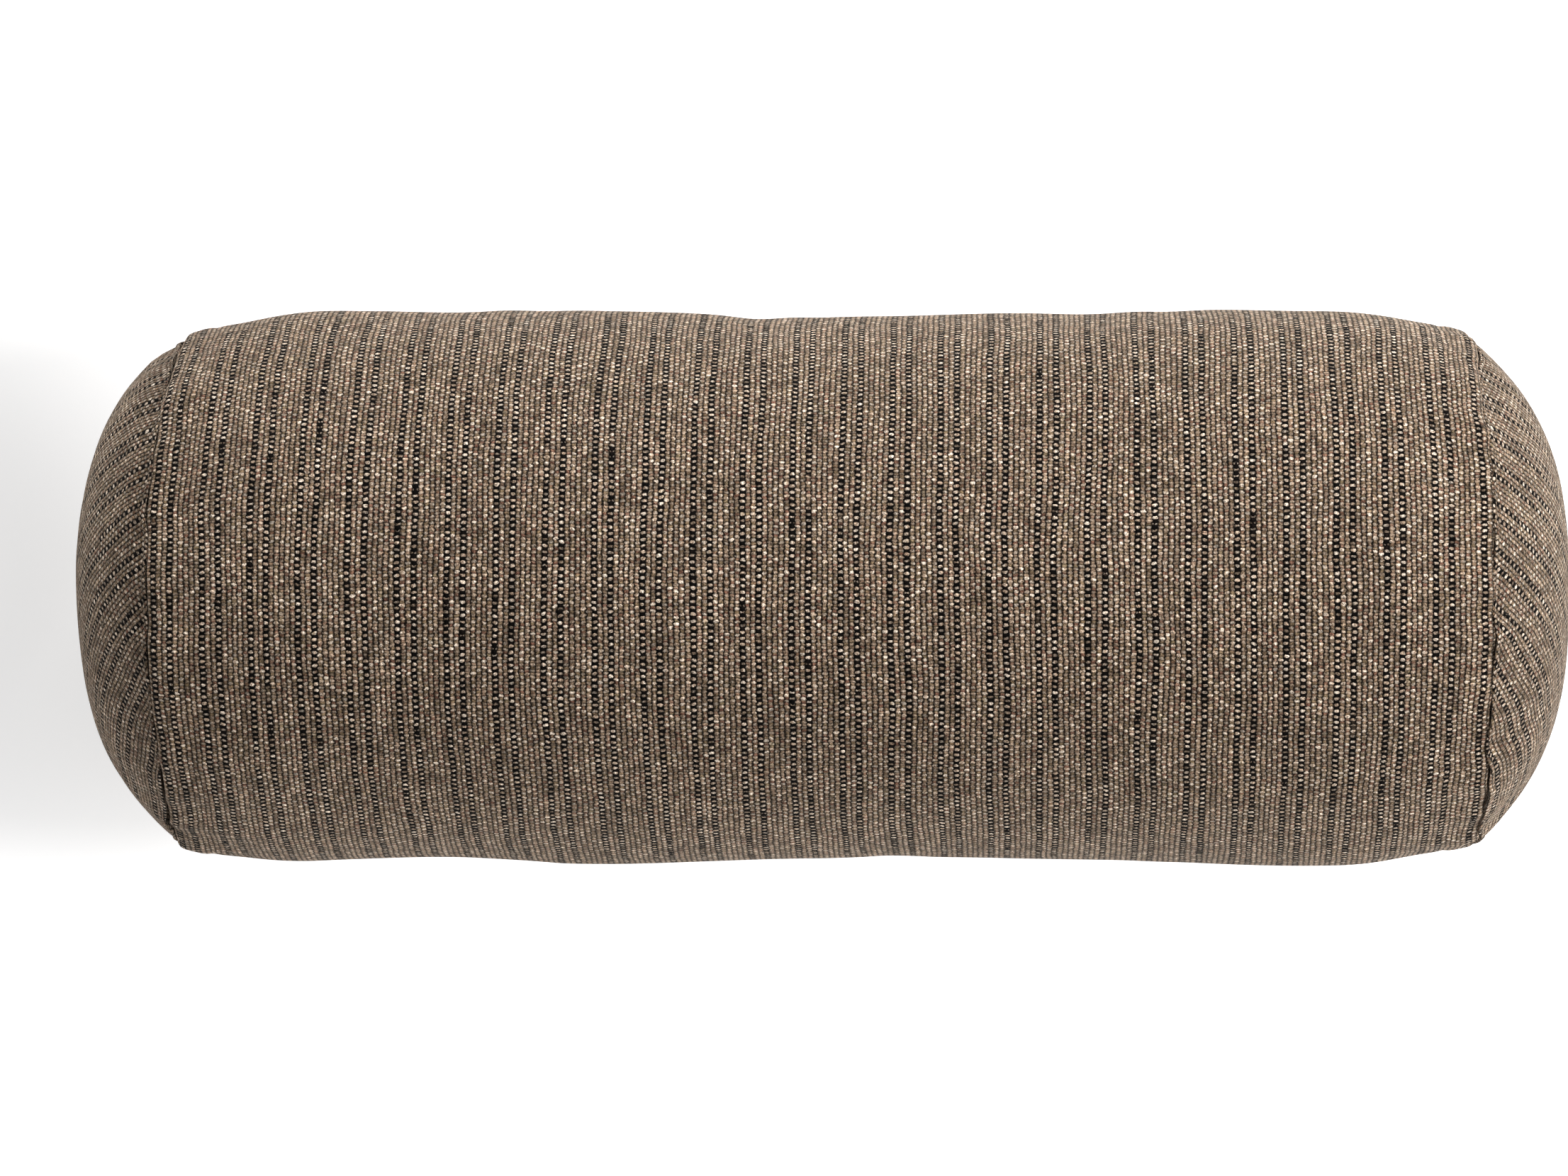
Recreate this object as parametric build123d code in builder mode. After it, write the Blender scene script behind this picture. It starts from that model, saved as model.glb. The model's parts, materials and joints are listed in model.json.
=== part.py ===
from build123d import *

import os
from collections import namedtuple
from functools import cache
from math import cos, degrees, pi, radians, sin, sqrt

# A bolster pillow: a zipped woven cover round a fibre-filled insert.
# Millimetres, +X along the bolster, +Z up.

os.makedirs("parts", exist_ok=True)

# ---- Driving dimensions of the filled cover --------------------------------------------------
# mid_radius at mid length, straight out to bend_x and then drawn in to seam_radius at the end seams at
# seam_x. Past those, each end is a dome: a shoulder up to shoulder_x and a flatter crown, to end_x.
Form = namedtuple("Form", "mid_radius bend_x seam_radius seam_x shoulder_radius shoulder_x end_x floor")
COVER = Form(101.0, 193.7, 94.0, 241.0, 71.2, 262.2, 277.0, 0.0)
BEND_RADIUS = 45.0
REST_HALF_WIDTH = 33.0  # half the strip that the filling's weight presses flat

MID_RADIUS, SEAM_X, END_X = COVER.mid_radius, COVER.seam_x, COVER.end_x
AXIS_Z = sqrt(MID_RADIUS**2 - REST_HALF_WIDTH**2)

# ---- Cloth ------------------------------------------------------------------------------------
CLOTH = 1.5  # one ply of the heavy woven cover
PLY_GAP = 0.2  # between two plies pressed together
TURNED_EDGE = 10.0  # seam allowance at the end seams
PLY_2 = CLOTH + PLY_GAP  # depth of the second ply's outer face
PLY_3 = 2 * PLY_2  # depth of the third ply's outer face
FACE_GAP = 0.1  # between the wrap's fold and the end panel at the seam

# ---- Zipper, measured along the bolster (x), round it (u) and outwards from its surface (w) ----
ZIP_ANGLE = -45.0  # below the horizontal, on the +Y side
OPENING_X = 181.0  # half length of the opening
OPENING_U = 4.6  # half width between the turned edges
SLIT_U = 0.1  # half the gap where the edges are sewn together
ZIP_HEM = 13.0  # width of the edges turned in along the zipper
TAPE = 0.4
TAPE_X = 188.0
TAPE_INNER_U = 0.85
TAPE_OUTER_U = 14.0
COIL_PITCH = 1.27
COIL_TURN = 0.5  # thickness of one turn along the chain
COIL_TOP = -1.7
COIL_BOTTOM = -PLY_3 + 0.02
COIL_OVERLAP = 0.45  # how far each half reaches past the middle
COIL_RAIL_U = 1.45
COIL_BACK_U = 1.95
CLOSED_X = 171.0  # the slider's middle when the zipper is closed
PARTING_X, PARTED_X = CLOSED_X - 2.0, CLOSED_X + 0.8  # where the post pushes the two halves apart
BOTTOM_STOP_X = -176.0
STOP_LENGTH = 2.0
STOP_TOP = -1.0
TOP_STOP_U = 3.3
BOTTOM_STOP_U = 2.4
BLOCK_LOW, BLOCK_HIGH = -12.0, 6.0  # deep and high enough to cut through every ply

# ---- Slider and pull tab, in the slider's own coordinates ----------------------------------------
SLIDER_HALF = 4.5
MOUTH_X, MOUTH_U = 1.0, 4.1  # the wide end, where the two halves come in
TAIL_X, TAIL_U = -1.8, 2.8  # the narrow end
TAIL_CORNER, MOUTH_CORNER = 1.0, 0.8
PLATE = 1.2
PLATE_EDGE = 0.3
UPPER_PLATE_W = COIL_TOP + 0.2  # its under face
LOWER_PLATE_W = -PLY_3 - TAPE - 0.3  # its upper face
CHEEK, CHEEK_DEPTH = 0.65, 1.65  # the side flanges
CHEEK_MOUTH = 2.0  # length that is left open at each end
POST = [(-0.2, 0.0), (1.2, 0.7), (3.0, 0.7), (3.6, 0.0), (3.0, -0.7), (1.2, -0.7)]
BRIDGE_LENGTH, BRIDGE_HEIGHT, BRIDGE_HALF_U = 6.0, 3.5, 1.1
BRIDGE_SINK, BRIDGE_CORNER = 0.2, 0.9
BRIDGE_HOLE = (3.8, 1.5)
PULL_W = 1.3  # the pull tab's hinge line
PULL_BAR, PULL_BAR_LENGTH = 1.1, 5.2
PULL_THICK = 1.2
PULL_LENGTH, PULL_HALF_U = 17.5, 3.0
PULL_NECK, PULL_NECK_HALF_U, PULL_SHOULDER = 5.0, 2.6, 7.0
PULL_CORNER = 2.4
PULL_EYE, PULL_EYE_Y = (3.2, 4.8), 1.5
PULL_WINDOW, PULL_WINDOW_Y = (7.0, 2.2), 11.5

# ---- Insert -----------------------------------------------------------------------------------
TICKING = 0.8
FILL_GAP = 0.2
INSERT = Form(98.8, 189.0, 87.3, 237.0, 68.0, 258.6, 272.8, 5.6)
POCKET_X = 232.0  # room in the insert for the zipper's tapes and slider
POCKET_U = 19.0
POCKET_DEPTH = 5.4
INSERT_SLIT_ANGLE = 215.0
INSERT_SLIT = (0.3, 40.0)  # width, and depth of the block that cuts it
PANEL_GAP = 0.1  # between the insert's tube and each of its end panels

# ---- Sewing thread ----------------------------------------------------------------------------
THREAD = 0.5
STITCH = 3.4
STITCH_PITCH = 4.2
TOPSTITCH, TOPSTITCH_PITCH = 2.6, 3.2
TOPSTITCH_U = 8.6  # 4 mm in from the turned edge
CLOSING_PITCH, CLOSING_FIRST, CLOSING_LAST = 4.0, 190.5, 228.5
CLOSING_SINK = 1.03  # the closing row lies deeper where the wrap slopes
CLEAR = 0.02  # between a row of thread and the cloth under it
INSERT_CLOSING_PITCH, INSERT_CLOSING_COUNT = 5.0, 73
END_STITCH_X, END_STITCH_RADIUS = 239.8, 88.75
INSERT_STITCH_X, INSERT_STITCH_RADIUS = 235.0, 88.15

AXIS = Axis((0, 0, AXIS_Z), (1, 0, 0))
PROFILE_PLANE = Plane((0, 0, AXIS_Z), x_dir=(1, 0, 0), z_dir=(0, -1, 0))
NEAR = 1e-3  # two lengths closer than this are the same


def outward(angle):
    """The unit vector that points away from the axis at an angle, in degrees from +Y towards +Z."""
    return Vector(0, cos(radians(angle)), sin(radians(angle)))


ZIP_PLANE = Plane(
    origin=Vector(0, 0, AXIS_Z) + outward(ZIP_ANGLE) * MID_RADIUS,
    x_dir=(1, 0, 0),
    z_dir=outward(ZIP_ANGLE),
)


def write(piece, name):
    """Labels a finished piece and writes its STEP file."""
    piece.label = name
    export_step(piece, f"parts/{name}.step")


@cache
def solid_form(form, inset, x_low, x_high):
    """The space inset below a bolster's outside, between two stations, cut flat where it rests."""
    with BuildPart() as space:
        with BuildSketch(PROFILE_PLANE) as section:
            with BuildLine():
                Polyline((0, form.mid_radius), (form.bend_x, form.mid_radius), (form.seam_x, form.seam_radius))
                crown = TangentArc((form.end_x, 0), (form.shoulder_x, form.shoulder_radius), tangent=(0, 1))
                TangentArc(crown @ 1, (form.seam_x, form.seam_radius), tangent=crown % 1)
                mirror(about=Plane.XZ)
                mirror(about=Plane.YZ)
            make_face()
            bends = [v for v in section.vertices() if abs(abs(v.X) - form.bend_x) < NEAR]
            fillet(bends, BEND_RADIUS)
            offset(amount=-inset)
            with Locations((x_low, 0)):
                Rectangle(x_high - x_low, form.mid_radius, align=Align.MIN, mode=Mode.INTERSECT)
        revolve(axis=AXIS)
        split(bisect_by=Plane.XY.offset(form.floor + inset), keep=Keep.TOP)
    return space.part


def ply(outer, inner, x_low, x_high, form=COVER):
    """A layer of a bolster between two depths, over a stretch of its length."""
    outside, inside = solid_form(form, outer, x_low, x_high), solid_form(form, inner, x_low - 1, x_high + 1)
    with BuildPart() as layer:
        add(outside)
        add(inside, mode=Mode.SUBTRACT)
    return layer.part


def zip_block(x_low, x_high, u_low, u_high, w_low=BLOCK_LOW, w_high=BLOCK_HIGH):
    """A block in the zipper's own coordinates."""
    size = (x_high - x_low, u_high - u_low, w_high - w_low)
    middle = ((x_low + x_high) / 2, (u_low + u_high) / 2, (w_low + w_high) / 2)
    return ZIP_PLANE.location * (Location(middle) * Box(*size, mode=Mode.PRIVATE))


def strip(outer, inner, x_low, x_high, u_low, u_high):
    """A layer of the cover beside the zipper."""
    layer, block = ply(outer, inner, x_low, x_high), zip_block(x_low, x_high, u_low, u_high)
    with BuildPart() as piece:
        add(layer)
        add(block, mode=Mode.INTERSECT)
    return piece.part


def both_ways(make, low, high):
    """The same piece on both sides of the middle: from low to high, and from -high to -low."""
    return [make(low, high), make(-high, -low)]


# ---- Cover: wrap panel ------------------------------------------------------------------------
def wrap_panel():
    """The rectangle that is rolled round the insert, with its four edges turned in."""
    hem_start, inner = SEAM_X - TURNED_EDGE, PLY_2 + CLOTH
    outside = solid_form(COVER, 0.0, -SEAM_X, SEAM_X)
    hollows = [
        solid_form(COVER, inner, -SEAM_X - 1, SEAM_X + 1),
        solid_form(COVER, CLOTH, -hem_start, hem_start),
    ]
    hollows += both_ways(lambda a, b: ply(CLOTH, PLY_2, a, b), hem_start - 1, SEAM_X - CLOTH)
    zones = [(-OPENING_X, OPENING_X, OPENING_U)]
    zones += both_ways(lambda a, b: (a, b, SLIT_U), OPENING_X, hem_start - 1)
    edges = []
    for x_low, x_high, u in zones:
        edges.append(strip(CLOTH / 3, inner, x_low, x_high, -u - CLOTH, u + CLOTH))
        edges.append(strip(PLY_2, inner, x_low, x_high, -u - ZIP_HEM, u + ZIP_HEM))
    openings = [
        zip_block(-OPENING_X, OPENING_X, -OPENING_U, OPENING_U),
        zip_block(-SEAM_X - 1, SEAM_X + 1, -SLIT_U, SLIT_U),
    ]
    with BuildPart() as panel:
        add(outside)
        for hollow in hollows:
            add(hollow, mode=Mode.SUBTRACT)
        for edge in edges:
            add(edge)
        for opening in openings:
            add(opening, mode=Mode.SUBTRACT)
    return panel.part


def end_panel(side):
    """A round end panel with its turned edge. side is -1 for the left end and 1 for the right."""
    start = SEAM_X + FACE_GAP
    stations = [(start, END_X + 1), (start, start + CLOTH), (SEAM_X - TURNED_EDGE, start + CLOTH)]
    depths = [(0, CLOTH), (0, PLY_3 + CLOTH), (PLY_3, PLY_3 + CLOTH)]
    layers = [
        ply(*depth, *sorted((side * near, side * far)))
        for depth, (near, far) in zip(depths, stations)
    ]
    with BuildPart() as panel:
        add(layers)
    return panel.part


# ---- Sewing -----------------------------------------------------------------------------------
def thread_run(places, length):
    """Straight stitches of thread, one at each place, lying along its local Z."""
    with BuildPart() as stitches:
        with Locations(*places):
            Cylinder(THREAD / 2, length)
    return stitches.part


def ring_stitches(x, radius):
    """The row of stitches round an end seam, at station x."""
    count = round(2 * pi * radius / STITCH_PITCH)
    with BuildPart(Plane((x, 0, AXIS_Z), x_dir=(0, 1, 0), z_dir=(1, 0, 0))) as stitches:
        with PolarLocations(radius, count):
            Cylinder(THREAD / 2, STITCH, rotation=(90, 0, 0))
    return stitches.part


def cover_radius(x):
    """Outside radius of the wrap panel at station x, with its bend taken as sharp."""
    past = max(0.0, abs(x) - COVER.bend_x)
    return MID_RADIUS - past * (MID_RADIUS - COVER.seam_radius) / (SEAM_X - COVER.bend_x)


def zip_point(x, u, radius):
    """A point at a distance u round the bolster from the zipper's line, and its outward direction."""
    angle = ZIP_ANGLE - degrees(u / MID_RADIUS)
    return Vector(x, 0, AXIS_Z) + outward(angle) * radius, outward(angle)


def topstitch(side):
    """The row on the outside that holds one zipper tape."""
    count = int(2 * OPENING_X // TOPSTITCH_PITCH)
    places = []
    for i in range(count):
        x = (i - (count - 1) / 2) * TOPSTITCH_PITCH
        point, out = zip_point(x, side * TOPSTITCH_U, MID_RADIUS + THREAD / 2 + CLEAR)
        places.append(Plane(point, x_dir=out, z_dir=(1, 0, 0)))
    return thread_run(places, TOPSTITCH)


def closing_stitches():
    """Stitches that join the wrap panel's edges between the zipper and each end seam."""
    depth = (PLY_2 + CLOTH + THREAD / 2 + FACE_GAP) * CLOSING_SINK
    places = []
    for i in range(int((CLOSING_LAST - CLOSING_FIRST) // CLOSING_PITCH) + 1):
        for side in (1, -1):
            x = side * (CLOSING_FIRST + i * CLOSING_PITCH)
            point, out = zip_point(x, 0, cover_radius(x) - depth)
            places.append(Plane(point, x_dir=(1, 0, 0), z_dir=out.cross(Vector(1, 0, 0))))
    return thread_run(places, STITCH)


# ---- Zipper -----------------------------------------------------------------------------------
def coil_shift(x):
    """How far each half of the chain is pushed out where the slider's post parts it."""
    return (COIL_OVERLAP + TAPE_INNER_U) * min(1.0, max(0.0, (x - PARTING_X) / (PARTED_X - PARTING_X)))


def coil(side):
    """One half of the nylon coil, as a comb of turns on a rail. side is 1 below and -1 above."""
    phase = 0.0 if side > 0 else COIL_PITCH / 2
    first, last = BOTTOM_STOP_X + 0.3 + phase, CLOSED_X + SLIDER_HALF + 0.4
    inner_edge = []
    for i in range(int((last - first) // COIL_PITCH)):
        x = first + i * COIL_PITCH
        shift = coil_shift(x)
        tip, root = shift - COIL_OVERLAP, shift + COIL_RAIL_U
        inner_edge += [(x, root), (x, tip), (x + COIL_TURN, tip), (x + COIL_TURN, root)]
    back = [(x, coil_shift(x) + COIL_BACK_U) for x in (inner_edge[-1][0], PARTED_X, PARTING_X, first)]
    outline = [(x, side * u) for x, u in inner_edge + back]
    with BuildPart() as half:
        with BuildSketch(ZIP_PLANE.offset(COIL_BOTTOM)):
            with BuildLine():
                Polyline(*outline, close=True)
            make_face()
        extrude(amount=COIL_TOP - COIL_BOTTOM)
    return half.part


def stops():
    """The pair of top stops, and the bottom stop across both tapes."""
    top_x, low_u = CLOSED_X + SLIDER_HALF + 0.6, TAPE_INNER_U + 0.1
    top = both_ways(
        lambda a, b: zip_block(top_x, top_x + STOP_LENGTH, a, b, COIL_BOTTOM, STOP_TOP), low_u, TOP_STOP_U
    )
    bottom_x = BOTTOM_STOP_X - STOP_LENGTH
    bottom = zip_block(bottom_x, BOTTOM_STOP_X, -BOTTOM_STOP_U, BOTTOM_STOP_U, COIL_BOTTOM, STOP_TOP)
    return top, bottom


SLIDER_PLANE = Plane(ZIP_PLANE.from_local_coords((CLOSED_X, 0, 0)), x_dir=(1, 0, 0), z_dir=ZIP_PLANE.z_dir)


def slider_outline(inset=0.0):
    """The slider's plate: wide at the mouth, where the halves come in, and narrow at the tail."""
    mouth, tail = MOUTH_U - inset, TAIL_U - inset
    edge = [(SLIDER_HALF, mouth), (MOUTH_X, mouth), (TAIL_X, tail), (-SLIDER_HALF, tail)]
    with BuildSketch() as outline:
        with BuildLine():
            Polyline(*edge, *[(x, -u) for x, u in reversed(edge)], close=True)
        make_face()
        if not inset:
            fillet(outline.vertices().group_by(Axis.X)[0], TAIL_CORNER)
            fillet(outline.vertices().group_by(Axis.X)[-1], MOUTH_CORNER)
    return outline.sketch


def slider_body():
    """Two plates joined by the post that parts the coil, side flanges, and the bridge for the pull tab."""
    outline, channel = slider_outline(), slider_outline(CHEEK)
    upwards = Axis(SLIDER_PLANE.origin, SLIDER_PLANE.z_dir)
    with BuildPart() as body:
        with BuildSketch(SLIDER_PLANE.offset(UPPER_PLATE_W)):
            add(outline)
        extrude(amount=PLATE)
        fillet(body.faces().sort_by(upwards)[-1].edges(), PLATE_EDGE)
        with BuildSketch(SLIDER_PLANE.offset(LOWER_PLATE_W)):
            add(outline)
        extrude(amount=-PLATE)
        with BuildSketch(SLIDER_PLANE.offset(UPPER_PLATE_W)):
            add(outline)
            add(channel, mode=Mode.SUBTRACT)
            with Locations((SLIDER_HALF, 0), (-SLIDER_HALF, 0)):
                Rectangle(CHEEK_MOUTH, 2 * (MOUTH_U - CHEEK), mode=Mode.SUBTRACT)
        extrude(amount=-CHEEK_DEPTH)
        with BuildSketch(SLIDER_PLANE.offset(LOWER_PLATE_W)):
            with BuildLine():
                Polyline(*POST, close=True)
            make_face()
        extrude(amount=UPPER_PLATE_W - LOWER_PLATE_W)
        with BuildSketch(Plane(SLIDER_PLANE.origin, x_dir=(1, 0, 0), z_dir=-SLIDER_PLANE.y_dir)):
            with Locations((0, UPPER_PLATE_W + PLATE - BRIDGE_SINK)):
                Rectangle(BRIDGE_LENGTH, BRIDGE_HEIGHT, align=(Align.CENTER, Align.MIN))
            with Locations((0, PULL_W)):
                SlotOverall(*BRIDGE_HOLE, mode=Mode.SUBTRACT)
        extrude(amount=BRIDGE_HALF_U, both=True)
        across = body.edges().filter_by(Axis(SLIDER_PLANE.origin, SLIDER_PLANE.y_dir))
        fillet(across.sort_by(upwards)[-2:], BRIDGE_CORNER)
    return body.part


def pull_tab():
    """A flat tab with an eye whose bar runs under the bridge. It stands clear of the cover."""
    hinge = SLIDER_PLANE.from_local_coords((0, 0, PULL_W))
    face = Plane(hinge, x_dir=-SLIDER_PLANE.y_dir, z_dir=(1, 0, 0))
    up = 1 if face.y_dir.dot(SLIDER_PLANE.z_dir) > 0 else -1
    edge = [(PULL_NECK_HALF_U, 0), (PULL_NECK_HALF_U, PULL_NECK)]
    edge += [(PULL_HALF_U, PULL_SHOULDER), (PULL_HALF_U, PULL_LENGTH)]
    corners = [(u, up * y) for u, y in edge]
    with BuildPart() as tab:
        with BuildSketch(face) as outline:
            with BuildLine():
                Polyline(*corners, *[(-u, y) for u, y in reversed(corners)], close=True)
            make_face()
            fillet([v for v in outline.vertices() if abs(v.Y - up * PULL_LENGTH) < NEAR], PULL_CORNER)
            with Locations((0, up * PULL_EYE_Y)):
                Rectangle(*PULL_EYE, mode=Mode.SUBTRACT)
            with Locations((0, up * PULL_WINDOW_Y)):
                SlotOverall(*PULL_WINDOW, rotation=90, mode=Mode.SUBTRACT)
        extrude(amount=PULL_THICK / 2, both=True)
        with Locations(Plane(hinge, x_dir=(1, 0, 0), z_dir=SLIDER_PLANE.y_dir)):
            Cylinder(PULL_BAR / 2, PULL_BAR_LENGTH)
    return tab.part


# ---- Insert -----------------------------------------------------------------------------------
def insert_form(inset, x_low=-END_X, x_high=END_X):
    """The insert at a depth below its own outside, with the hollow that the zipper presses into it."""
    form = solid_form(INSERT, inset, x_low, x_high)
    reach, half = POCKET_X + inset, POCKET_U + inset
    pocket = zip_block(-reach, reach, -half, half, -POCKET_DEPTH - inset)
    with BuildPart() as insert:
        add(form)
        add(pocket, mode=Mode.SUBTRACT)
    return insert.part


def ticking(x_low, x_high, slit=None):
    """A panel of the insert's ticking between two stations."""
    outer, inner = insert_form(0.0, x_low, x_high), insert_form(TICKING)
    with BuildPart() as panel:
        add(outer)
        add(inner, mode=Mode.SUBTRACT)
        if slit:
            add(slit, mode=Mode.SUBTRACT)
    return panel.part


def insert_slit():
    """The gap between the ticking's two long edges."""
    plane = Plane((0, 0, AXIS_Z), x_dir=(1, 0, 0), z_dir=outward(INSERT_SLIT_ANGLE))
    box = Box(2 * END_X, *INSERT_SLIT, mode=Mode.PRIVATE)
    return plane.location * (Location((0, 0, INSERT.mid_radius)) * box)


def insert_closing_stitches():
    """The row that closes the ticking over its long slit."""
    foot = Vector(0, 0, AXIS_Z) + outward(INSERT_SLIT_ANGLE) * (INSERT.mid_radius + THREAD / 2 + CLEAR)
    across = outward(INSERT_SLIT_ANGLE + 90)
    places = []
    for i in range(INSERT_CLOSING_COUNT):
        x = (i - (INSERT_CLOSING_COUNT - 1) / 2) * INSERT_CLOSING_PITCH
        places.append(Plane(foot + Vector(x, 0, 0), x_dir=(1, 0, 0), z_dir=across))
    return thread_run(places, STITCH)


write(wrap_panel(), "cover_wrap_panel")
for word, side in (("left", -1), ("right", 1)):
    write(end_panel(side), f"cover_end_panel_{word}")
    write(ring_stitches(side * END_STITCH_X, END_STITCH_RADIUS), f"cover_end_seam_stitches_{word}")
    insert_end = sorted((side * INSERT.seam_x, side * (INSERT.end_x + 1)))
    write(ticking(*insert_end), f"insert_end_panel_{word}")
    insert_seam = ring_stitches(side * INSERT_STITCH_X, INSERT_STITCH_RADIUS)
    write(insert_seam, f"insert_end_seam_stitches_{word}")
write(closing_stitches(), "cover_closing_stitches")

for word, side in (("lower", 1), ("upper", -1)):
    tape_u = sorted((side * TAPE_INNER_U, side * TAPE_OUTER_U))
    write(strip(PLY_3, PLY_3 + TAPE, -TAPE_X, TAPE_X, *tape_u), f"zipper_tape_{word}")
    write(topstitch(side), f"zipper_topstitch_{word}")
    write(coil(side), f"zipper_coil_{word}")
top_stops, bottom_stop = stops()
write(Compound(top_stops), "zipper_top_stops")
write(bottom_stop, "zipper_bottom_stop")
write(slider_body(), "zipper_slider_body")
write(pull_tab(), "zipper_pull_tab")

insert_half = INSERT.seam_x - PANEL_GAP
write(ticking(-insert_half, insert_half, insert_slit()), "insert_wrap_panel")
write(insert_closing_stitches(), "insert_closing_stitches")
write(insert_form(TICKING + FILL_GAP), "fibre_fill")
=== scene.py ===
import json
import math

import bpy
import numpy as np
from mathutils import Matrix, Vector


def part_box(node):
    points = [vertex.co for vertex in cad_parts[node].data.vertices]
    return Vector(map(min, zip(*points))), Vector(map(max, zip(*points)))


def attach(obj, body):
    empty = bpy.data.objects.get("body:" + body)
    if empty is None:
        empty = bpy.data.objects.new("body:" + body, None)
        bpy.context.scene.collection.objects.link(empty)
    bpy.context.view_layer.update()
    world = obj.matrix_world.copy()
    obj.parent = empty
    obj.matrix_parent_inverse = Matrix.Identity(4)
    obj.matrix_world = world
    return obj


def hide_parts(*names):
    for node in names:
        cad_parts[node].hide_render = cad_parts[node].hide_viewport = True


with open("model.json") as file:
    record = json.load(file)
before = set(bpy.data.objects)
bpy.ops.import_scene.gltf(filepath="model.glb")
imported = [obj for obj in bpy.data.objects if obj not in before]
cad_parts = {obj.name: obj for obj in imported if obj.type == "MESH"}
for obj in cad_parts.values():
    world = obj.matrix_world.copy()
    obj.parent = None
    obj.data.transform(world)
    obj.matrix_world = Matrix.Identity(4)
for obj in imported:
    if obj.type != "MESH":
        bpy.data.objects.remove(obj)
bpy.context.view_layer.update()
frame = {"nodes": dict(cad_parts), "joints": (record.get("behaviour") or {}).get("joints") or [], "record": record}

MM = 0.001
JOINTS = {joint["name"]: joint for joint in frame["joints"]}

# ---- Places, from the frame ----------------------------------------------------------------------
WRAP_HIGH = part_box("cover_wrap_panel")[1]
MID_RADIUS = WRAP_HIGH.y
AXIS_Z = WRAP_HIGH.z - MID_RADIUS
END_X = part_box("cover_end_panel_right")[1].x
HINGE = Vector(JOINTS["pull_tab_hinge"]["pos_m"])
ZIP_ANGLE = math.atan2(HINGE.z - AXIS_Z, HINGE.y)
ZIP_END_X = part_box("zipper_topstitch_lower")[1].x

# ---- Cloth ---------------------------------------------------------------------------------------
PLY = 1.4 * MM
FOLD = 1.6 * MM  # radius of the cloth's fold at a turned edge
SEAM_HEM = 10 * MM
ZIP_HEM = 13 * MM
SEAM_LEAN = 1.0  # mm that both end seams lean inwards at +Y, and outwards at -Y
SEAM_BOW = 2.3  # mm that they bow inwards on both sides
SEAM_SHIFT = 2.0 * MM  # the wrap panel sits this much towards the right
SPACING = 3.1 * MM


class Form:
    """A bolster's stuffed shape: a tube drawn in at two end seams, with a domed panel past each."""

    def __init__(self, mid_radius, seam_radius, left_seam, right_seam, end_x, floor):
        self.mid_radius, self.seam_radius = mid_radius, seam_radius
        self.seams, self.end_x, self.floor = (left_seam, right_seam), end_x, floor

    def seam_x(self, side):
        """Station of the left (-1) or right (1) end seam."""
        return self.seams[(side + 1) // 2]

    def tube_radius(self, x):
        """Radius of the tube at x, drawn in over its last DRAW_IN towards each seam."""
        left, right = self.seams
        near = np.clip(1 - np.minimum(x - left, right - x) / DRAW_IN, 0, 1)
        return self.mid_radius - (self.mid_radius - self.seam_radius) * near**1.7

    def dome_x(self, side, share):
        """Station of an end panel at a share of the seam's radius from its middle."""
        seam = self.seam_x(side)
        height = self.end_x - abs(seam)
        return seam + side * height * (1 - np.clip(share, 0, 1) ** 2.8) ** 0.9


DRAW_IN = 51 * MM
COVER = Form(MID_RADIUS, 94 * MM, -241 * MM + SEAM_SHIFT, 241 * MM + SEAM_SHIFT, END_X, 0.0)
INSERT_LOW, INSERT_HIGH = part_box("insert_wrap_panel")
INSERT_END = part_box("insert_end_panel_right")[1]
INSERT = Form(INSERT_HIGH.y, INSERT_END.y, INSERT_LOW.x, INSERT_HIGH.x, INSERT_END.x, INSERT_LOW.z)
GIRTH = 2 * math.pi * MID_RADIUS
PRESS = 2.5 * MM  # how sharply the cloth turns up from the surface that it rests on
END_SAG = 1.0 * MM  # both ends lie this much towards -Y
BACK_HUMP, BACK_WAVE = -128 * MM, 290 * MM  # where the +Y side is fullest, and how often
BACK_SWELL, BACK_FULLER, FRONT_SWELL = 1.5, 0.65, 1.0  # mm: both sides' humps, and the +Y side as a whole
SHOULDER = 3.4 * MM  # how much fuller the left end is at its +Y shoulder
FRONT_HUMP, FRONT_WAVE = -55 * MM, 211 * MM  # the same along the -Y side


def place(x, radius, angle, floor):
    """Points round the axis, with whatever would sink below the floor pressed flat on it."""
    sag = END_SAG * smooth(abs(x), 120 * MM, 240 * MM)
    above = AXIS_Z + radius * np.sin(angle) - floor
    z = floor + (above + np.sqrt(above**2 + PRESS**2)) / 2
    return np.stack(np.broadcast_arrays(x, radius * np.cos(angle) - sag, z), -1)


def smooth(value, low, high):
    """0 below low and 1 above high, with a soft step between."""
    t = np.clip((value - low) / (high - low), 0, 1)
    return t * t * (3 - 2 * t)


def ripples(seed, a, b, wavelength, count=16):
    """Irregular waves of unit strength over two coordinates, all about one wavelength."""
    rng = np.random.default_rng(seed)
    total = np.zeros(np.broadcast(a, b).shape)
    for _ in range(count):
        heading, phase, size = rng.uniform(0, math.tau, 2).tolist() + [rng.uniform(0.7, 1.5)]
        way = a * math.cos(heading) + b * math.sin(heading)
        total += np.cos(math.tau * way / (wavelength * size) + phase)
    return total / math.sqrt(count / 2)


# ---- Meshes --------------------------------------------------------------------------------------
def make_mesh(name, points, faces, layers=()):
    """A smooth-shaded object from points and faces, with named number layers on its points."""
    mesh = bpy.data.meshes.new(name)
    mesh.from_pydata(points.tolist(), [], faces)
    for layer, values in dict(layers).items():
        attribute = mesh.attributes.new(layer, "FLOAT", "POINT")
        attribute.data.foreach_set("value", np.asarray(values, np.float32).ravel())
    mesh.shade_smooth()
    mesh.update()
    piece = bpy.data.objects.new(name, mesh)
    bpy.context.scene.collection.objects.link(piece)
    return piece


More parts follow.
